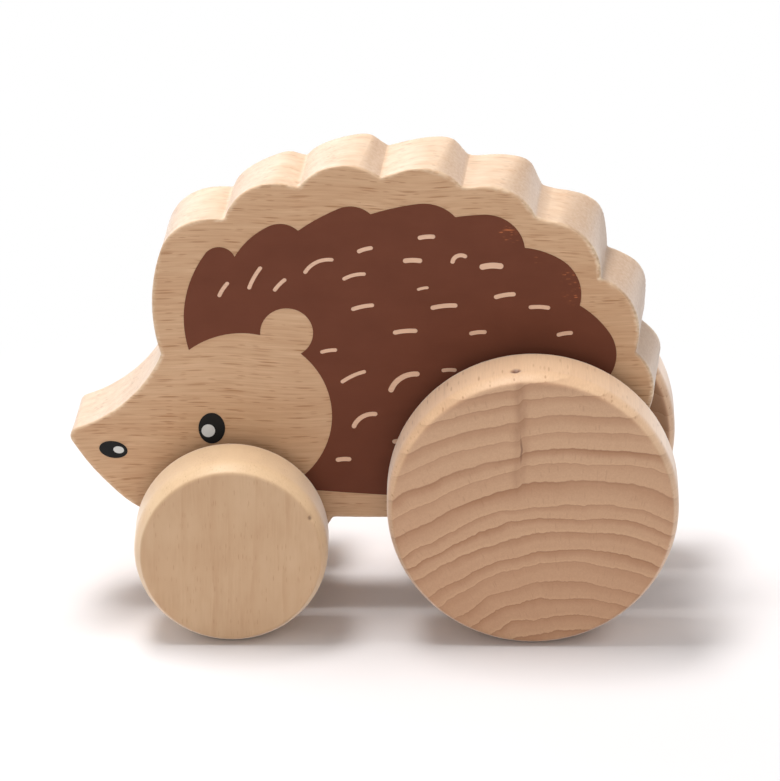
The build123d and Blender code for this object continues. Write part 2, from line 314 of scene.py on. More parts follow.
def flat_sawn_beech(name, wood, turn):
    """Sanded, unvarnished beech cut along the grain: pale pinkish tan, soft bands, and short dark ray flecks.

    The grain runs along the pattern's X. The saw has fuzzed the flank, whose paler nap is partly painted
    sheen.
    The flank is darker where the saw cut across the grain facing the tail, partly painted shade on that side,
    and the saw left small pale chips along the edges.
    """
    material, tree, shader, at = start_material(name, RAW_WOOD, turn=turn)
    drift = add_node(tree, "ShaderNodeTexNoise", {"Vector": at, "Scale": 1 / DRIFT_LENGTH, "Detail": 1.0})
    grain = add_node(
        tree, "ShaderNodeVectorMath", {0: drift.outputs["Color"], 1: DRIFT, 2: at}, operation="MULTIPLY_ADD"
    )
    end_grain_and_shade, flank, edge = (
        add_node(tree, "ShaderNodeAttribute", attribute_name=skin).outputs["Fac"] for skin in SKIN
    )
    # Only flanks that face the tail carry this, so their darker tone is partly painted shade
    across = add_node(
        tree, "ShaderNodeMapRange", {"Value": end_grain_and_shade, "From Min": 0.24, "From Max": 0.42, "To Max": 0.8}
    )
    bands = figure(tree, grain, cell=(60, 7, 4.6), spread=0.24, most=0.8, detail=4.0)
    streaks = figure(tree, grain, cell=(17, 1.8, 0.9), spread=0.25, most=0.5, detail=3.0)
    # The wood's vessels, of less than 0.1 mm, are too fine to show, and are drawn several times as coarse
    threads = figure(tree, grain, cell=(10, 0.6, 0.38), spread=0.24, most=0.34, detail=3.0)
    long_flecks = flecks(tree, grain, cell=(7.0, 1.2, 0.52), reach=0.44, share=0.55, most=0.78)
    short_flecks = flecks(tree, grain, cell=(3.0, 0.8, 0.4), reach=0.4, share=0.4, most=0.6)
    # Paler nap on the flank: partly sawn fuzz, partly painted sheen
    nap_and_sheen = overlap(tree, flank, figure(tree, at, cell=(6, 2.4, 2.4), spread=0.3, most=0.7, detail=3.0))
    layers = overlap(tree, across, figure(tree, grain, cell=(40, 14, 1.2), spread=0.2, most=0.4, detail=3.0))
    # Torn fibres, too, are drawn coarser than they are
    torn = overlap(tree, across, figure(tree, at, cell=(0.7, 0.9, 0.5), spread=0.3, most=0.4))
    chips = overlap(
        tree, edge,
        figure(tree, at, cell=(1.5, 1.2, 0.9), spread=0.14, most=0.65),
        figure(tree, at, cell=(8, 8, 8), spread=0.18),
    )
    stains = (
        (bands, wood.plank_shade),
        (streaks, wood.plank_shade),
        (threads, wood.fleck),
        (long_flecks, wood.fleck),
        (short_flecks, wood.fleck),
        # Paler nap, partly painted sheen
        (nap_and_sheen, wood.sawn),
        # Darker end grain, partly painted shade
        (across, wood.torn),
        (layers, wood.fleck),
        (torn, wood.sawn),
        (chips, wood.chipped),
    )
    reliefs = ((threads, 2.0), (long_flecks, -1.0), (short_flecks, -0.8), (torn, 3.0))
    lay_finish(tree, shader, wood.plank_light, stains, (threads, 0.38, 0.8), reliefs, depth=0.03)
    return material


def pale_beech(name, wood):
    """Bare beech between areas of ink: paler and pinker than the handled wood, with a fine grain along X.

    The grain is drawn coarser than it is, to show.
    """
    material, tree, shader, at = start_material(name, RAW_WOOD)
    bands = figure(tree, at, cell=(20, 5, 2.5), spread=0.3, most=0.35)
    threads = figure(tree, at, cell=(5, 0.4, 0.3), spread=0.28, most=0.2, detail=3.0)
    stains = ((bands, wood.plank_light), (threads, wood.fleck))
    lay_finish(tree, shader, wood.stroke, stains, (threads, 0.5, 0.9), ((threads, 2.0),), depth=0.02)
    return material


def wheel_sides(tree, side):
    """How far a wheel's surface faces along its axle, lies on the tread, whose paler tone is partly painted
    light, and is the inner face, which takes painted shade where it faces the plank.
    """
    normal = add_node(tree, "ShaderNodeTexCoord").outputs["Normal"]
    along = add_node(tree, "ShaderNodeSeparateXYZ", {"Vector": normal}).outputs["Y"]
    facing = add_node(tree, "ShaderNodeMath", {0: along}, operation="ABSOLUTE")
    # The tread's paler tone is partly painted light
    tread = add_node(tree, "ShaderNodeMapRange", {"Value": facing, "From Min": 0.85, "From Max": 0.45})
    # The inner face looks at the plank, and its darker tone is painted shade
    inwards = -SIDES[side]
    inner = add_node(
        tree, "ShaderNodeMapRange",
        {"Value": along, "From Min": 0.7 * inwards, "From Max": 0.95 * inwards, "To Max": 0.55},
    )
    return facing, tread, inner


# Damage of the left wheels, in mm from the middle of the inner face: a chip in the front wheel's face, and
# a pit in the rear wheel's tread
CHIP = (16.4, -15.3, 8.6)
PIT = (-3.7, -11.4, 29.8)

# The front wheels' wood, in mm: the spacing of its rings, and how far to each side a wheel lay in the plank
FRONT_RING_SPACING = 2.9
FRONT_SHIFT = 40


def rift_sawn_beech(name, wood, centre, side):
    """Sanded beech with upright, nearly straight grain: an even, slightly yellow face, faint growth lines.

    A quarter turn puts the pattern's X, along which the grain runs, upright.
    """
    material, tree, shader, at = start_material(name, RAW_WOOD, centre, (0, math.pi / 2, 0))
    _, tread, inner = wheel_sides(tree, side)
    apart = (0, 0, FRONT_SHIFT * SIDES[side])
    grain = add_node(tree, "ShaderNodeVectorMath", {0: at, 1: apart})
    across = add_node(tree, "ShaderNodeSeparateXYZ", {"Vector": grain}).outputs["Z"]
    sway = figure(tree, grain, cell=(30, 30, 9), spread=0.3, most=3.0)
    depth = add_node(tree, "ShaderNodeMath", {0: across, 1: sway})
    phase, chance = growth_rings(tree, depth, FRONT_RING_SPACING)
    late = add_node(
        tree, "ShaderNodeMapRange", {"Value": phase, "From Min": 0.35, "From Max": 0.97},
        interpolation_type="SMOOTHSTEP",
    )
    lines = overlap(tree, late, chance, figure(tree, grain, cell=(9, 6, 2.2), spread=0.25, most=0.75))
    blotch = figure(tree, grain, cell=(16, 12, 8), spread=0.25, most=0.6, detail=3.0)
    # Vessels, drawn several times as coarse as they are, in patches
    threads = overlap(
        tree,
        figure(tree, grain, cell=(6, 0.6, 0.4), spread=0.3, most=0.22, detail=3.0),
        figure(tree, grain, cell=(7, 6, 3.5), spread=0.2),
    )
    marks = flecks(tree, grain, cell=(2.4, 0.7, 0.4), reach=0.36, share=0.45, most=0.3)
    chip = spot(tree, at, (CHIP[2], CHIP[1], -CHIP[0]), inner=0.2, outer=0.7, most=1.0)
    stains = (
        (blotch, wood.front_shade),
        (lines, wood.front_shade),
        # Paler tread: partly smoother wood, partly painted light
        (tread, wood.front_tread_and_light),
        (threads, wood.fleck),
        (marks, wood.fleck),
        # Painted shade on the inner face
        (inner, wood.inner_face_shade),
        (chip, wood.knot),
    )
    reliefs = ((threads, 2.0), (marks, -1.0))
    lay_finish(tree, shader, wood.front_light, stains, (threads, 0.5, 0.9), reliefs, depth=0.03)
    return material


# The rear wheels' wood, in mm from the middle of a wheel's inner face: the tree's pith, the spacing of its
# rings, and how each wheel is turned about its axle
PITH = (8.0, 0.0, -54.0)
PITH_DISTANCE = 54.0
REAR_RING_SPACING = 3.6
REAR_TURN = {"left": 0.0, "right": 2.2}
# The check in it, in mm from the pith: how far it lies to the side, how wide its stain is, how far the rings
# shift across it, and its dark core
CHECK_X = -11.2
CHECK_REACH = 2.4
CHECK_SHIFT = -0.9
CORE_PLACE = (CHECK_X, 0.0, 68.0)
CORE_SIZE = (0.34, 1.0, 4.2)


def end_grain_beech(name, wood, centre, side):
    """Sanded beech cut across the grain: wavy growth rings about a pith far below, dark below each line.

    A radial check has stained the wood and shifted the rings. The tread shows the fibres as short streaks.
    """
    material, tree, shader, at = start_material(name, RAW_WOOD, centre, (0, REAR_TURN[side], 0))
    facing, tread, inner = wheel_sides(tree, side)
    face = add_node(
        tree, "ShaderNodeMapRange", {"Value": facing, "From Min": 0.2, "From Max": 0.9, "To Min": 0.2}
    )

    from_pith = add_node(tree, "ShaderNodeVectorMath", {0: at, 1: PITH}, operation="SUBTRACT")
    axes = add_node(tree, "ShaderNodeSeparateXYZ", {"Vector": from_pith}).outputs
    flat = add_node(tree, "ShaderNodeCombineXYZ", {"X": axes["X"], "Z": axes["Z"]})
    radius = add_node(tree, "ShaderNodeVectorMath", {0: flat}, operation="LENGTH").outputs["Value"]
    way = add_node(tree, "ShaderNodeMath", {0: axes["X"], 1: axes["Z"]}, operation="ARCTAN2")
    arc = add_node(tree, "ShaderNodeMath", {0: way, 1: PITH_DISTANCE}, operation="MULTIPLY")
    polar = add_node(tree, "ShaderNodeCombineXYZ", {"X": arc, "Y": axes["Y"], "Z": radius})

    upper = add_node(
        tree, "ShaderNodeMapRange", {"Value": axes["Z"], "From Min": 54.0, "From Max": 62.0},
        interpolation_type="SMOOTHSTEP",
    )
    wobble = figure(tree, at, cell=(40, 60, 6), spread=0.3, most=1.2)
    beside = add_node(tree, "ShaderNodeMath", {0: axes["X"], 1: wobble}, operation="SUBTRACT")
    step = add_node(
        tree, "ShaderNodeMapRange",
        {"Value": beside, "From Min": CHECK_X - 0.5, "From Max": CHECK_X + 0.5, "To Max": CHECK_SHIFT},
    )
    off = add_node(tree, "ShaderNodeMath", {0: beside, 1: CHECK_X}, operation="SUBTRACT")
    off = add_node(tree, "ShaderNodeMath", {0: off}, operation="ABSOLUTE")
    stain = add_node(
        tree, "ShaderNodeMapRange", {"Value": off, "From Min": CHECK_REACH, "From Max": 0.0, "To Max": 0.55},
        interpolation_type="SMOOTHSTEP",
    )
    check = overlap(tree, stain, upper, face, face, figure(tree, at, cell=(2.2, 30, 7), spread=0.25))
    along = add_node(tree, "ShaderNodeCombineXYZ", {"X": beside, "Z": axes["Z"]})
    core = overlap(tree, streak(tree, along, CORE_PLACE, CORE_SIZE, most=0.6), face)

    ring = radius
    for part in (
        figure(tree, polar, cell=(18, 90, 15), spread=0.35, most=3.0),
        figure(tree, polar, cell=(4.2, 60, 6), spread=0.35, most=0.7),
        figure(tree, polar, cell=(1.1, 50, 3), spread=0.3, most=0.32),
        overlap(tree, step, upper),
    ):
        ring = add_node(tree, "ShaderNodeMath", {0: ring, 1: part})
    alone = add_node(tree, "ShaderNodeCombineXYZ", {"Z": ring})
    crowding = figure(tree, alone, cell=(1, 1, 7), spread=0.35, most=4.5)
    depth = add_node(tree, "ShaderNodeMath", {0: ring, 1: crowding})
    phase, chance = growth_rings(tree, depth, REAR_RING_SPACING)
    strength, patch = (
        add_node(tree, "ShaderNodeMapRange", {"Value": part, "To Min": 0.45, "To Max": 1.0})
        for part in (chance, figure(tree, polar, cell=(15, 80, 8), spread=0.3))
    )
    late = add_node(
        tree, "ShaderNodeMapRange", {"Value": phase, "From Min": 0.3, "From Max": 0.95},
        interpolation_type="SMOOTHSTEP",
    )
    line, fresh, fade = (
        add_node(
            tree, "ShaderNodeMapRange", {"Value": phase, "From Min": start, "From Max": full, "To Max": most}
        )
        for start, full, most in ((0.88, 0.96, 0.65), (0.22, 0.02, 0.5), (1.0, 0.97, 1.0))
    )
    shown = overlap(tree, fade, strength, patch, face)
    late, line, fresh = (overlap(tree, part, shown) for part in (late, line, fresh))
    rays = flecks(tree, polar, cell=(0.5, 14, 2.8), reach=0.36, share=0.5, most=0.22)
    # Pores of less than 0.1 mm are too fine to show, and are drawn several times as coarse
    pores = figure(tree, at, cell=(0.32, 6, 0.32), spread=0.3, most=0.2)
    streaks = overlap(tree, tread, flecks(tree, at, cell=(0.8, 4.2, 0.8), reach=0.38, share=0.55, most=0.6))
    heart = add_node(
        tree, "ShaderNodeMapRange", {"Value": axes["Z"], "From Min": 68.0, "From Max": 30.0, "To Max": 0.55}
    )
    pit = spot(tree, at, PIT, inner=0.6, outer=1.4, most=1.0)
    stains = (
        # Paler tread: partly smoother wood, partly painted light
        (tread, wood.rear_tread_and_light),
        (overlap(tree, heart, face), wood.rear_heart),
        (late, wood.rear_shade),
        (line, wood.rear_line),
        (fresh, wood.rear_tread_and_light),
        (rays, wood.rear_line),
        (pores, wood.rear_line),
        (streaks, wood.fleck),
        (check, wood.rear_line),
        (core, wood.knot),
        # Painted shade on the inner face
        (inner, wood.inner_face_shade),
        (pit, wood.knot),
    )
    reliefs = ((late, 0.5), (pores, 2.0), (line, -0.6))
    lay_finish(tree, shader, wood.rear_light, stains, (pores, 0.5, 0.9), reliefs, depth=0.03)
    return material


# Places where the coat is rubbed thin, in mm: the edges of its upper lobes towards the tail
SCUFFS = ((27.9, -9.6, 84.3), (34.5, -9.6, 79.4), (40.6, -9.6, 74.5), (41.6, -9.6, 71.0))
SCRATCH_PLACE = (27.6, -9.6, 84.9)
SCRATCH_SIZE = (1.7, 1.0, 0.3)


def printed_ink(name, thin, thick, roughness, bare=None):
    """Matt screen-printing ink on wood: nearly even, mottled where it lies thick, the grain pressing through.

    Where handling has rubbed it, specks of a bare tone show. The grain is drawn as coarse as in the wood.
    """
    material, tree, shader, at = start_material(name, MATT_INK)
    mottle = figure(tree, at, cell=(9, 9, 6), spread=0.3, detail=3.0)
    speckle = figure(tree, at, cell=(0.6, 0.6, 0.5), spread=0.35, most=0.35)
    threads = figure(tree, at, cell=(6, 0.4, 0.32), spread=0.3, detail=3.0)
    stains = [(mottle, thick), (speckle, thick)]
    if bare:
        specks = flecks(tree, at, cell=(1.3, 3.0, 0.42), reach=0.45, share=0.8, most=1.2)
        rub = figure(tree, at, cell=(0.8, 3.0, 0.7), spread=0.2, most=1.8)
        for place in SCUFFS:
            worn = spot(tree, at, place, inner=0.6, outer=3.4, most=0.9)
            stains.append((overlap(tree, specks, rub, worn), bare))
        stains.append((streak(tree, at, SCRATCH_PLACE, SCRATCH_SIZE, most=0.9), bare))
    matt = (threads, roughness - 0.05, roughness + 0.08)
    lay_finish(tree, shader, thin, stains, matt, ((threads, 1.0),), depth=0.015)
    return material


def dress(node, material):
    """Gives a CAD node a better material."""
    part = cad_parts[node]
    part.data.materials.clear()
    part.data.materials.append(material)


def add_piece(name, mesh, material, body, node=None):
    """Links a finished mesh that rides on a body, and may stand for a CAD node."""
    mesh.materials.clear()
    mesh.materials.append(material)
    piece = bpy.data.objects.new(name, mesh)
    bpy.context.scene.collection.objects.link(piece)
    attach(piece, body)
    if node:
        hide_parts(node)


def closed_loops(edges):
    """The closed loops that edges make, as X, Z points, the longest first."""
    beside = {}
    for edge in edges:
        for vert in edge.verts:
            beside.setdefault(vert, []).append(edge.other_vert(vert))
    loops = []
    while beside:
        last, ahead = None, next(iter(beside))
        loop = []
        while ahead in beside:
            loop.append(Vector((ahead.co.x, ahead.co.z)))
            ways = beside.pop(ahead)
            last, ahead = ahead, ways[0] if ways[0] is not last else ways[1]
        loops.append(loop)
    return sorted(loops, key=girth, reverse=True)


def girth(loop):
    """The length once round a closed loop."""
    return sum((b - a).length for a, b in zip(loop, loop[1:] + loop[:1]))


def merged_copy(node):
    """A copy of a CAD node's mesh with its loose triangles joined."""
    bm = bmesh.new()
    bm.from_mesh(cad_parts[node].data)
    bmesh.ops.remove_doubles(bm, verts=bm.verts[:], dist=WELD)
    return bm


# A cut through the very middle could run along edges of the CAD mesh
BESIDE_MIDDLE = 0.1 * MM


def middle_loops(node):
    """The loops in which a CAD node crosses a plane just beside the plank's middle."""
    bm = merged_copy(node)
    whole = bm.verts[:] + bm.edges[:] + bm.faces[:]
    cut = bmesh.ops.bisect_plane(bm, geom=whole, plane_co=(0, BESIDE_MIDDLE, 0), plane_no=(0, 1, 0))
    loops = closed_loops([part for part in cut["geom_cut"] if isinstance(part, bmesh.types.BMEdge)])
    bm.free()
    return loops


# A face that turns less than this along Y is a film's wall
WALL_TURN = 0.5


def foot_loops(node):
    """The loops in which a printed film's walls meet the wood."""
    bm = merged_copy(node)
    wood = min(abs(vert.co.y) for vert in bm.verts)
    feet = [
        edge for edge in bm.edges
        if all(abs(vert.co.y) - wood < WELD for vert in edge.verts)
        and min(abs(face.normal.y) for face in edge.link_faces) < WALL_TURN
    ]
    loops = closed_loops(feet)
    bm.free()
    return loops


def even_points(loop, step):
    """Evenly spaced points along a closed loop, anticlockwise."""
    if sum(a.x * b.y - b.x * a.y for a, b in zip(loop, loop[1:] + loop[:1])) < 0:
        loop = loop[::-1]
    ends = loop[1:] + loop[:1]
    runs = [(b - a).length for a, b in zip(loop, ends)]
    count = round(sum(runs) / step)
    spacing = sum(runs) / count
    points, done, k = [], 0.0, 0
    for i in range(count):
        while done + runs[k] < i * spacing:
            done += runs[k]
            k += 1
        points.append(loop[k].lerp(ends[k], (i * spacing - done) / runs[k]))
    return points


def outward_normals(points):
    """The outward directions of an anticlockwise loop."""
    normals = []
    for before, after in zip(points[-1:] + points[:-1], points[1:] + points[:1]):
        along = (after - before).normalized()
        normals.append(Vector((along.y, -along.x)))
    return normals


def ring_of(bm, places):
    """A ring of vertices."""
    return [bm.verts.new(place) for place in places]


def strip(bm, first, second):
    """Faces between two rings of as many vertices."""
    count = len(first)
    for i in range(count):
        j = (i + 1) % count
        bm.faces.new((first[i], first[j], second[j], second[i])).smooth = True


def closed_mesh(bm, name):
    """The mesh of a closed shell, its faces turned outwards."""
    bmesh.ops.recalc_face_normals(bm, faces=bm.faces[:])
    mesh = bpy.data.meshes.new(name)
    bm.to_mesh(mesh)
    bm.free()
    return mesh


def uneven(point, side, cell):
    """Noise from -1 to 1 in cells of a real size, at a point of the plank's outline or flank."""
    return noise.noise((point.x / cell, side / cell, point.y / cell))


# How much the saw tears an edge that faces up, against one that faces the tail
TEAR_UPWARDS = 0.4
# Torn stretches of the edge: how many there are, how sharply they begin, their length, and a shift that draws
# them apart from the edge's own wandering
TEAR_SHARE = 0.45
TEAR_CONTRAST = 2
TEAR_LENGTH = 7 * MM
TEAR_SHIFT = 0.5


def torn_side(normal):
    """How much the saw tears an edge that faces this way: most towards the tail, where it left the grain."""
    return max(0.0, normal.x, TEAR_UPWARDS * normal.y)


def tears(point, side):
    """How much the saw has torn a stretch of the plank's edge, from 0 to about 1."""
    return max(0.0, TEAR_SHARE + TEAR_CONTRAST * uneven(point, side + TEAR_SHIFT, TEAR_LENGTH))


# The edge's rounding: the length of its waves and of the nicks in its torn stretches, how strong the nicks
# are on any edge and how much stronger towards the tail, and the least rounding
EDGE_WAVE = 8 * MM
NICK_LENGTH = 1.2 * MM
NICKS = 0.3
TAIL_NICKS = 1.2
LEAST_EDGE = 0.12 * MM


def edge_rounds(outline, normals, side, sizes):
    """The hand-sanded rounding of the plank's edge on one side, at each point of its outline."""
    rounds = []
    for p, n in zip(outline, normals):
        nicks = (NICKS + TAIL_NICKS * torn_side(n)) * tears(p, side) * uneven(p, side, NICK_LENGTH)
        wander = uneven(p, side, EDGE_WAVE) + nicks
        rounds.append(max(LEAST_EDGE, sizes.plank_edge + sizes.edge_wander * wander))
    return rounds


# A notch between two scallops bends inwards by more than an angle over a few steps of the outline
NOTCH_REACH = 3
NOTCH_BEND = 0.5
# Notches further apart than this have no scallop between them
WIDEST_SCALLOP = 30 * MM


def crests(points):
    """How far each point of an anticlockwise outline lies up a scallop: from 0 at a notch to 1 at the top."""
    count = len(points)
    bends = []
    for i, point in enumerate(points):
        before, after = point - points[i - NOTCH_REACH], points[(i + NOTCH_REACH) % count] - point
        bends.append(before.angle_signed(after))
    around = range(-2 * NOTCH_REACH, 2 * NOTCH_REACH + 1)
    notches = [
        i for i, bend in enumerate(bends)
        if bend > NOTCH_BEND and bend == max(bends[(i + k) % count] for k in around)
    ]
    heights = [0.0] * count
    for first, last in zip(notches, notches[1:] + [notches[0] + count]):
        run = last - first
        if (points[last % count] - points[first]).length < WIDEST_SCALLOP:
            for k in range(run):
                heights[(first + k) % count] = math.sin(math.pi * k / run) ** 2
    return heights


# Rows of the mesh across a rounded edge, and how far its last row lies in on the plank's side
EDGE_ROWS = 4
EDGE_SUPPORT = 0.5 * MM
# Length of the waves that sanding has left on the flank and of the fibres that the saw has torn, and how fast
# both begin at the edges
DISH_WAVE = 6 * MM
FUZZ_LENGTH = 1.1 * MM
FLANK_RISE = 5
# How far the chips of an edge reach on to the flank, and how fast they fade there from row to row
CHIP_REACH = 0.8
CHIP_FADE = 0.2


def sanded_plank(sizes):
    """The plank's mesh: the CAD outline cut with a leaning saw, its edges sanded by hand, its flank worn."""
    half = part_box("body_plank")[1].y
    loops = middle_loops("body_plank")
    outline = even_points(loops[0], sizes.plank_step)
    normals = outward_normals(outline)
    leans = [
        math.tan(sizes.saw_lean) + math.tan(sizes.crest_lean) * crest * max(0.0, n.y)
        for crest, n in zip(crests(outline), normals)
    ]
    bm = bmesh.new()
    end_grain_and_shade, sawn, worn = (bm.verts.layers.float.new(skin) for skin in SKIN)
    rings = []

    def add_ring(rows, flank, chipped):
        """A ring round the plank, each point at its own Y and inset, with the attributes of the skin."""
        places = [
            (p.x - n.x * inset + lean * (y + half), y, p.y - n.y * inset)
            for p, n, lean, (y, inset) in zip(outline, normals, leans, rows)
        ]
        rings.append(ring_of(bm, places))
        for vert, n in zip(rings[-1], normals):
            # Only flanks that face the tail are marked, so the darker end grain there is partly painted shade
            vert[end_grain_and_shade] = flank * max(0.0, n.x)
            vert[sawn] = flank
            vert[worn] = max(0.0, chipped, (chipped + CHIP_REACH) * torn_side(n))

    rounds = {side: edge_rounds(outline, normals, side * half, sizes) for side in SIDES.values()}
    bends = [math.pi / 2 * k / EDGE_ROWS for k in range(EDGE_ROWS + 1)]
    add_ring([(-half, r + EDGE_SUPPORT) for r in rounds[-1]], 0, -CHIP_REACH)
    for bend in bends:
        rows = [(-half + r * (1 - math.cos(bend)), r * (1 - math.sin(bend))) for r in rounds[-1]]
        add_ring(rows, math.sin(bend), 1)
    flank_rows = round(2 * (half - sizes.plank_edge) / sizes.plank_step)
    for k in range(1, flank_rows):
        share = k / flank_rows
        rise = min(1.0, FLANK_RISE * share, FLANK_RISE * (1 - share))
        rows = []
        for p, n, left, right in zip(outline, normals, rounds[-1], rounds[1]):
            y = (left - half) * (1 - share) + (half - right) * share
            dish = sizes.flank_wander * (1 + uneven(p, y, DISH_WAVE)) / 2
            fuzz = sizes.flank_fuzz * abs(n.x) * (1 + uneven(p, y, FUZZ_LENGTH)) / 2
            rows.append((y, (dish + fuzz) * rise))
        add_ring(rows, 1, max(-CHIP_REACH, -CHIP_FADE * min(k, flank_rows - k)))
    for bend in reversed(bends):
        rows = [(half - r * (1 - math.cos(bend)), r * (1 - math.sin(bend))) for r in rounds[1]]
        add_ring(rows, math.sin(bend), 1)
    add_ring([(half, r + EDGE_SUPPORT) for r in rounds[1]], 0, -CHIP_REACH)
    for first, second in zip(rings, rings[1:]):
        strip(bm, first, second)
    bores = []
    for loop in loops[1:]:
        mouth = even_points(loop, sizes.plank_step)
        bores.append([ring_of(bm, [(p.x, y, p.y) for p in mouth]) for y in (-half, half)])
        strip(bm, *bores[-1])
    for end, ring in ((0, rings[0]), (1, rings[-1])):
        rims = [ring] + [bore[end] for bore in bores]
        edges = [bm.edges.get(pair) for rim in rims for pair in zip(rim, rim[1:] + rim[:1])]
        bmesh.ops.triangle_fill(bm, use_beauty=True, edges=edges, normal=(0, 2 * end - 1, 0))
    return closed_mesh(bm, "sanded_plank")


class HEDGEHOG_OT_plank(bpy.types.Operator):
    """Saw and sand the plank"""

    bl_idname = "hedgehog.plank"
    bl_label = "Sand the plank"

    def execute(self, context):
        settings = context.scene.hedgehog
        beech = flat_sawn_beech("sanded_beech_plank", settings.wood, (0, 0, 0))
        add_piece("sanded_plank", sanded_plank(settings.sizes), beech, "hedgehog", "body_plank")
        return {"FINISHED"}


# The coat's openings are its loops up to this girth. Their wood lies a little in the plank and in the ink
STROKE_GIRTH = 22 * MM
STROKE_SINK = 0.02 * MM
STROKE_RISE = 0.03 * MM


class HEDGEHOG_OT_strokes(bpy.types.Operator):
    """Lay the pale wood of the quill strokes in the coat's openings"""

    bl_idname = "hedgehog.strokes"
    bl_label = "Lay the quill strokes"

    def execute(self, context):
        pale = pale_beech("pale_beech_strokes", context.scene.hedgehog.wood)
        for side, way in SIDES.items():
            film = "coat_print_" + side
            low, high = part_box(film)
            ground = min(abs(low.y), abs(high.y))
            bm = bmesh.new()
            for loop in foot_loops(film):
                if girth(loop) > STROKE_GIRTH:
                    continue
                rings = [
                    ring_of(bm, [(p.x, way * y, p.y) for p in loop])
                    for y in (ground - STROKE_SINK, ground + STROKE_RISE)
                ]
                strip(bm, *rings)
                for ring in rings:
                    bm.faces.new(ring)
            bmesh.ops.triangulate(bm, faces=[face for face in bm.faces if len(face.verts) > 4])
            name = "quill_strokes_" + side
            add_piece(name, closed_mesh(bm, name), pale, "hedgehog")
        return {"FINISHED"}


WHEEL_SIZES = (
    "Radius", "Width", "Shoulder drop", "Shoulder width", "Shoulder rounding", "Edge rounding",
    "Socket radius", "Socket depth", "Wander", "Seed", "Side",
)
WHEEL_INPUTS = {
    "Geometry": "NodeSocketGeometry",
    **dict.fromkeys(WHEEL_SIZES, "NodeSocketFloat"),
    "Inner centre": "NodeSocketVector",
    "Segments": "NodeSocketInt",
    "Profile points": "NodeSocketInt",
    "Material": "NodeSocketMaterial",
}
# Points of each rounded corner of a wheel's profile, and waves of its tread's wander over one radius
CORNER_POINTS = 12
WANDER_WAVES = 2.5


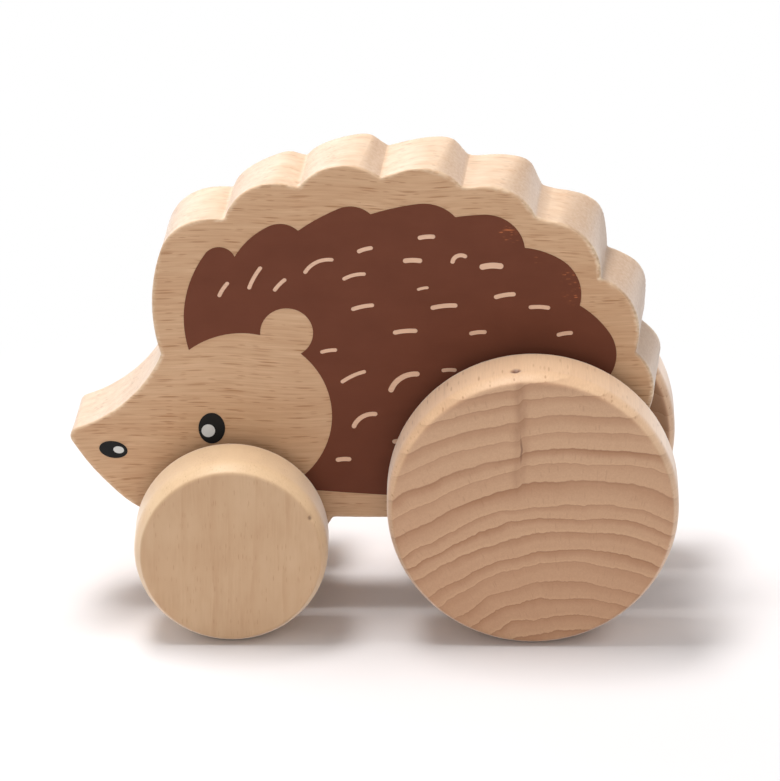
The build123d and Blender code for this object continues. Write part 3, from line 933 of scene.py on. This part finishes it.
def wheel_tree():
    """Geometry Nodes that turn a wheel: a profile with eased shoulders and a blind socket, swept round."""
    tree = bpy.data.node_groups.new("turned_wheel", "GeometryNodeTree")
    for name, kind in WHEEL_INPUTS.items():
        tree.interface.new_socket(name, in_out="INPUT", socket_type=kind)
    tree.interface.new_socket("Geometry", in_out="OUTPUT", socket_type="NodeSocketGeometry")
    given = add_node(tree, "NodeGroupInput").outputs
    eased = add_node(
        tree, "ShaderNodeMath", {0: given["Radius"], 1: given["Shoulder drop"]}, operation="SUBTRACT"
    )
    far_shoulder = add_node(
        tree, "ShaderNodeMath", {0: given["Width"], 1: given["Shoulder width"]}, operation="SUBTRACT"
    )
    corners = [
        (0.0, given["Socket depth"], None),
        (given["Socket radius"], given["Socket depth"], None),
        (given["Socket radius"], 0.0, None),
        (eased, 0.0, given["Edge rounding"]),
        (given["Radius"], given["Shoulder width"], given["Shoulder rounding"]),
        (given["Radius"], far_shoulder, given["Shoulder rounding"]),
        (eased, given["Width"], given["Edge rounding"]),
        (0.0, given["Width"], None),
    ]
    index = add_node(tree, "GeometryNodeInputIndex")
    places = add_node(tree, "GeometryNodeIndexSwitch", {"Index": index}, data_type="VECTOR")
    rounds = add_node(tree, "GeometryNodeIndexSwitch", {"Index": index}, data_type="FLOAT")
    for switch in (places, rounds):
        for _ in corners[2:]:
            switch.index_switch_items.new()
    for k, (out, along, rounding) in enumerate(corners):
        corner = add_node(tree, "ShaderNodeCombineXYZ", {"X": out, "Y": along})
        tree.links.new(corner.outputs[0], places.inputs[k + 1])
        if rounding:
            tree.links.new(rounding, rounds.inputs[k + 1])
    line = add_node(tree, "GeometryNodeMeshLine", {"Count": len(corners)})
    bent = add_node(tree, "GeometryNodeSetPosition", {"Geometry": line, "Position": places})
    sharp = add_node(tree, "GeometryNodeMeshToCurve", {"Mesh": bent})
    profile = add_node(
        tree, "GeometryNodeFilletCurve",
        {"Curve": sharp, "Count": CORNER_POINTS, "Radius": rounds}, mode="POLY",
    )
    sheet = add_node(
        tree, "GeometryNodeMeshGrid",
        {
            "Size X": 1.0, "Size Y": 1.0,
            "Vertices X": given["Segments"], "Vertices Y": given["Profile points"],
        },
    )
    seat = add_node(tree, "GeometryNodeInputPosition")
    unit = add_node(tree, "ShaderNodeVectorMath", {0: seat, 1: (0.5, 0.5, 0.0)})
    share = add_node(tree, "ShaderNodeSeparateXYZ", {"Vector": unit}).outputs
    way = add_node(tree, "ShaderNodeMath", {0: share["X"], 1: 2 * math.pi}, operation="MULTIPLY")
    drawn = add_node(
        tree, "GeometryNodeSampleCurve", {"Curves": profile, "Factor": share["Y"]},
        mode="FACTOR", use_all_curves=True,
    ).outputs["Position"]
    drawn = add_node(tree, "ShaderNodeSeparateXYZ", {"Vector": drawn}).outputs
    cosine = add_node(tree, "ShaderNodeMath", {0: way}, operation="COSINE")
    sine = add_node(tree, "ShaderNodeMath", {0: way}, operation="SINE")
    about = add_node(tree, "ShaderNodeCombineXYZ", {"X": cosine, "Y": share["Y"], "Z": sine})
    shifted = add_node(tree, "ShaderNodeVectorMath", {0: about, 1: given["Seed"]})
    waves = add_node(tree, "ShaderNodeTexNoise", {"Vector": shifted, "Scale": WANDER_WAVES, "Detail": 2.0})
    reach = add_node(tree, "ShaderNodeMath", {0: drawn["X"], 1: given["Radius"]}, operation="DIVIDE")
    loss = overlap(tree, waves, given["Wander"], reach)
    out = add_node(tree, "ShaderNodeMath", {0: drawn["X"], 1: loss}, operation="SUBTRACT")
    spread = add_node(tree, "ShaderNodeCombineXYZ", {"X": out, "Y": drawn["Y"], "Z": out})
    turn = add_node(tree, "ShaderNodeCombineXYZ", {"X": cosine, "Y": given["Side"], "Z": sine})
    placed = add_node(
        tree, "ShaderNodeVectorMath", {0: spread, 1: turn, 2: given["Inner centre"]}, operation="MULTIPLY_ADD"
    )
    turned = add_node(tree, "GeometryNodeSetPosition", {"Geometry": sheet, "Position": placed})
    welded = add_node(tree, "GeometryNodeMergeByDistance", {"Geometry": turned, "Distance": WHEEL_WELD})
    smooth = add_node(tree, "GeometryNodeSetShadeSmooth", {"Geometry": welded})
    real = add_node(tree, "GeometryNodeRealizeInstances", {"Geometry": smooth})
    dressed = add_node(tree, "GeometryNodeSetMaterial", {"Geometry": real, "Material": given["Material"]})
    add_node(tree, "NodeGroupOutput", {"Geometry": dressed})
    return tree


def plain_mesh(name, tree, values):
    """The plain mesh that a node tree makes with these inputs."""
    holder = bpy.data.objects.new(name, bpy.data.meshes.new(name))
    bpy.context.scene.collection.objects.link(holder)
    modifier = holder.modifiers.new(tree.name, "NODES")
    modifier.node_group = tree
    for item in tree.interface.items_tree:
        if item.name in values and item.in_out == "INPUT":
            modifier[item.identifier] = values[item.name]
    depsgraph = bpy.context.evaluated_depsgraph_get()
    bm = bmesh.new()
    bm.from_mesh(bpy.data.meshes.new_from_object(holder.evaluated_get(depsgraph)))
    holder.modifiers.remove(modifier)
    bpy.data.objects.remove(holder)
    return closed_mesh(bm, name)


# A torn chip and a pit: place, reach and depth in mm
WEAR = {"front_wheel_left": (CHIP, 1.0, 0.5), "rear_wheel_left": (PIT, 1.3, 0.7)}


def dent(mesh, centre, place, reach, depth):
    """Presses the skin of a wheel in towards its middle about a place."""
    deepest = centre + Vector(place) * MM
    middle = centre + Vector((0, place[1] / 2, 0)) * MM
    for vert in mesh.vertices:
        share = (vert.co - deepest).length / (reach * MM)
        if share < 1:
            vert.co += (middle - vert.co).normalized() * depth * MM * (1 - share ** 2) ** 2


FINISHES = {"front": rift_sawn_beech, "rear": end_grain_beech}
# Room for glue round a dowel's end
SOCKET_PLAY = 0.05 * MM
# The seed of a wheel's wander: this times its radius in mm, plus or minus one for its side
SEED_STEP = 3.0


class HEDGEHOG_OT_wheels(bpy.types.Operator):
    """Turn the four wheels and finish their axles"""

    bl_idname = "hedgehog.wheels"
    bl_label = "Turn the wheels"

    def execute(self, context):
        settings = context.scene.hedgehog
        dowel = flat_sawn_beech("sanded_beech_dowel", settings.wood, (0, 0, -math.pi / 2))
        tree = wheel_tree()
        shoulders = {"front": settings.sizes.front_shoulder, "rear": settings.sizes.rear_shoulder}
        for end, shoulder in shoulders.items():
            dress(end + "_axle", dowel)
            for side in SIDES:
                self.turn_wheel(settings, tree, end, side, shoulder)
        return {"FINISHED"}

    def turn_wheel(self, settings, tree, end, side, shoulder):
        """One wheel, turned and finished, in place of its CAD node."""
        node = f"{end}_wheel_{side}"
        sizes = settings.sizes
        low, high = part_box(node)
        axle_low, axle_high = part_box(end + "_axle")
        radius = (high.z - low.z) / 2
        width = high.y - low.y
        inner = high.y if SIDES[side] < 0 else low.y
        centre = Vector(((low.x + high.x) / 2, inner, (low.z + high.z) / 2))
        depth = (axle_high.y - axle_low.y) / 2 - abs(inner)
        name = "turned_" + node
        material = FINISHES[end](f"{end}_wheel_beech_{side}", settings.wood, centre, side)
        mesh = plain_mesh(name, tree, {
            "Radius": radius,
            "Width": width,
            "Shoulder drop": shoulder,
            "Shoulder width": shoulder / math.tan(sizes.shoulder_slope),
            "Shoulder rounding": sizes.shoulder_round,
            "Edge rounding": sizes.wheel_edge,
            "Socket radius": (axle_high.x - axle_low.x) / 2 + SOCKET_PLAY,
            "Socket depth": depth,
            "Wander": sizes.tread_wander,
            "Seed": SEED_STEP * radius / MM + SIDES[side],
            "Side": float(SIDES[side]),
            "Inner centre": centre,
            "Segments": round(2 * math.pi * radius / sizes.wheel_turn) + 1,
            "Profile points": round((radius * 2 + width + depth) / sizes.wheel_step),
            "Material": material,
        })
        if node in WEAR:
            dent(mesh, centre, *WEAR[node])
        add_piece(name, mesh, material, end + "_wheelset", node)


class HEDGEHOG_OT_prints(bpy.types.Operator):
    """Ink the coat, the eyes and the nose on both sides"""

    bl_idname = "hedgehog.prints"
    bl_label = "Ink the prints"

    def execute(self, context):
        inks = context.scene.hedgehog.prints
        brown = printed_ink("brown_printing_ink", inks.brown, inks.brown_deep, 0.65, inks.scuff)
        black = printed_ink("black_printing_ink", inks.black, inks.black_deep, 0.5)
        pale = printed_ink("pale_printing_ink", inks.pale, inks.pale_deep, 0.5)
        for side in SIDES:
            dress("coat_print_" + side, brown)
            for film in ("eye_print_", "nose_print_"):
                dress(film + side, black)
            for film in ("eye_glint_", "nose_glint_"):
                dress(film + side, pale)
        return {"FINISHED"}


def soft_box(name, place, aim, size, power):
    """A rectangular area lamp that shines at a point."""
    lamp = bpy.data.lights.new(name, "AREA")
    lamp.shape = "RECTANGLE"
    lamp.size, lamp.size_y = size
    lamp.energy = power
    box = bpy.data.objects.new(name, lamp)
    box.location = place
    box.rotation_euler = (Vector(aim) - Vector(place)).to_track_quat("-Z", "Y").to_euler()
    bpy.context.scene.collection.objects.link(box)


def looking_rays(tree):
    """1 for rays that look at the background, straight or in a gloss, and 0 for rays that gather light."""
    rays = add_node(tree, "ShaderNodeLightPath").outputs
    looking = rays["Is Camera Ray"]
    for kind in ("Is Glossy Ray", "Is Transmission Ray"):
        looking = add_node(tree, "ShaderNodeMath", {0: looking, 1: rays[kind]}, operation="MAXIMUM")
    return looking


# Soft boxes: place, aim and size in metres, and power in watts
SOFT_BOXES = {
    "top_soft_box": ((-0.15, 0.085, 0.75), (0, 0, 0.03), (0.4, 0.2), 4.9),
    "right_soft_box": ((0.55, -0.1, 0.6), (0, 0, 0.03), (0.3, 0.3), 1.0),
    "front_soft_box": ((-0.1, -0.95, 0.36), (0, 0, 0.04), (0.8, 0.5), 2.0),
    "back_soft_box": ((-0.75, 1.1, 0.58), (0, 0, 0.05), (1.4, 0.8), 6.0),
}
WHITE = (1, 1, 1, 1)
# Strength of the world as light, and as it is seen
WORLD_LIGHT = 0.4
WORLD_SEEN = 1.0
# How far the floor reaches each way, and where it turns to white and is white, in metres from the middle
FLOOR_REACH = 3.0
FLOOR_CELLS = 8
WHITE_FROM = 0.085
WHITE_FULL = 0.16
# The camera's sensor in mm, and how near and how far it sees in metres
SENSOR_WIDTH = 36.0
NEAREST = 0.05
FURTHEST = 20.0


class HEDGEHOG_OT_stage(bpy.types.Operator):
    """Set the floor, the soft studio light and the camera"""

    bl_idname = "hedgehog.stage"
    bl_label = "Set the stage"

    def execute(self, context):
        stage = context.scene.hedgehog.stage
        bm = bmesh.new()
        bmesh.ops.create_grid(bm, x_segments=FLOOR_CELLS, y_segments=FLOOR_CELLS, size=FLOOR_REACH)
        mesh = bpy.data.meshes.new("studio_floor")
        bm.to_mesh(mesh)
        bm.free()
        floor = bpy.data.objects.new("studio_floor", mesh)
        context.scene.collection.objects.link(floor)
        mesh.materials.append(self.floor_material(stage.floor))
        self.world(context.scene)
        for name, (place, aim, size, power) in SOFT_BOXES.items():
            soft_box(name, place, aim, size, power)
        self.camera(context.scene, stage)
        context.scene.view_settings.view_transform = "Standard"
        return {"FINISHED"}

    def floor_material(self, tone):
        """A matt white floor that keeps shadows and is white all round."""
        material = bpy.data.materials.new("matt_white_floor")
        material.use_nodes = True
        tree = material.node_tree
        tree.nodes.clear()
        matt = add_node(tree, "ShaderNodeBsdfDiffuse", {"Color": tone})
        white = add_node(tree, "ShaderNodeEmission", {"Color": WHITE, "Strength": 1.0})
        at = add_node(tree, "ShaderNodeTexCoord").outputs["Object"]
        reach = add_node(tree, "ShaderNodeVectorMath", {0: at}, operation="LENGTH").outputs["Value"]
        far = add_node(
            tree, "ShaderNodeMapRange", {"Value": reach, "From Min": WHITE_FROM, "From Max": WHITE_FULL},
            interpolation_type="SMOOTHSTEP",
        )
        away = overlap(tree, looking_rays(tree), far)
        mixed = add_node(tree, "ShaderNodeMixShader", {0: away, 1: matt, 2: white})
        add_node(tree, "ShaderNodeOutputMaterial", {"Surface": mixed})
        return material

    def world(self, scene):
        """Even light from all round, seen as white."""
        scene.world = bpy.data.worlds.new("studio")
        scene.world.use_nodes = True
        tree = scene.world.node_tree
        tree.nodes.clear()
        strength = add_node(
            tree, "ShaderNodeMapRange",
            {"Value": looking_rays(tree), "To Min": WORLD_LIGHT, "To Max": WORLD_SEEN},
        )
        light = add_node(tree, "ShaderNodeBackground", {"Color": WHITE, "Strength": strength})
        add_node(tree, "ShaderNodeOutputWorld", {"Surface": light})

    def camera(self, scene, stage):
        """The camera at the photograph's viewing angle."""
        data = bpy.data.cameras.new("photo_camera")
        data.sensor_width = SENSOR_WIDTH
        data.lens = stage.lens
        data.clip_start = NEAREST
        data.clip_end = FURTHEST
        camera = bpy.data.objects.new("photo_camera", data)
        flat = math.cos(stage.elevation)
        back = Vector((
            math.sin(stage.azimuth) * flat, -math.cos(stage.azimuth) * flat, math.sin(stage.elevation)
        ))
        camera.location = Vector(stage.aim) + back * stage.distance
        camera.rotation_euler = (-back).to_track_quat("-Z", "Y").to_euler()
        scene.collection.objects.link(camera)
        scene.camera = camera


class HEDGEHOG_PT_panel(bpy.types.Panel):
    """Steps and settings of the hedgehog"""

    bl_idname = "HEDGEHOG_PT_panel"
    bl_label = "Hedgehog"
    bl_space_type = "VIEW_3D"
    bl_region_type = "UI"
    bl_category = "Hedgehog"

    def draw(self, context):
        for step in OPERATORS:
            self.layout.operator(step.bl_idname)
        settings = context.scene.hedgehog
        for group in (settings.sizes, settings.wood, settings.prints, settings.stage):
            box = self.layout.box()
            for name in group.bl_rna.properties.keys():
                if name not in ("rna_type", "name"):
                    box.prop(group, name)


OPERATORS = (
    HEDGEHOG_OT_plank, HEDGEHOG_OT_strokes, HEDGEHOG_OT_wheels, HEDGEHOG_OT_prints, HEDGEHOG_OT_stage
)
CLASSES = (
    HedgehogSizes, HedgehogWood, HedgehogPrint, HedgehogStage, HedgehogSettings, *OPERATORS, HEDGEHOG_PT_panel
)


def register():
    for cls in CLASSES:
        bpy.utils.register_class(cls)
    bpy.types.Scene.hedgehog = bpy.props.PointerProperty(type=HedgehogSettings)


def unregister():
    del bpy.types.Scene.hedgehog
    for cls in reversed(CLASSES):
        bpy.utils.unregister_class(cls)


def main():
    register()
    bpy.ops.hedgehog.plank()
    bpy.ops.hedgehog.strokes()
    bpy.ops.hedgehog.wheels()
    bpy.ops.hedgehog.prints()
    bpy.ops.hedgehog.stage()


if __name__ == "__main__":
    main()
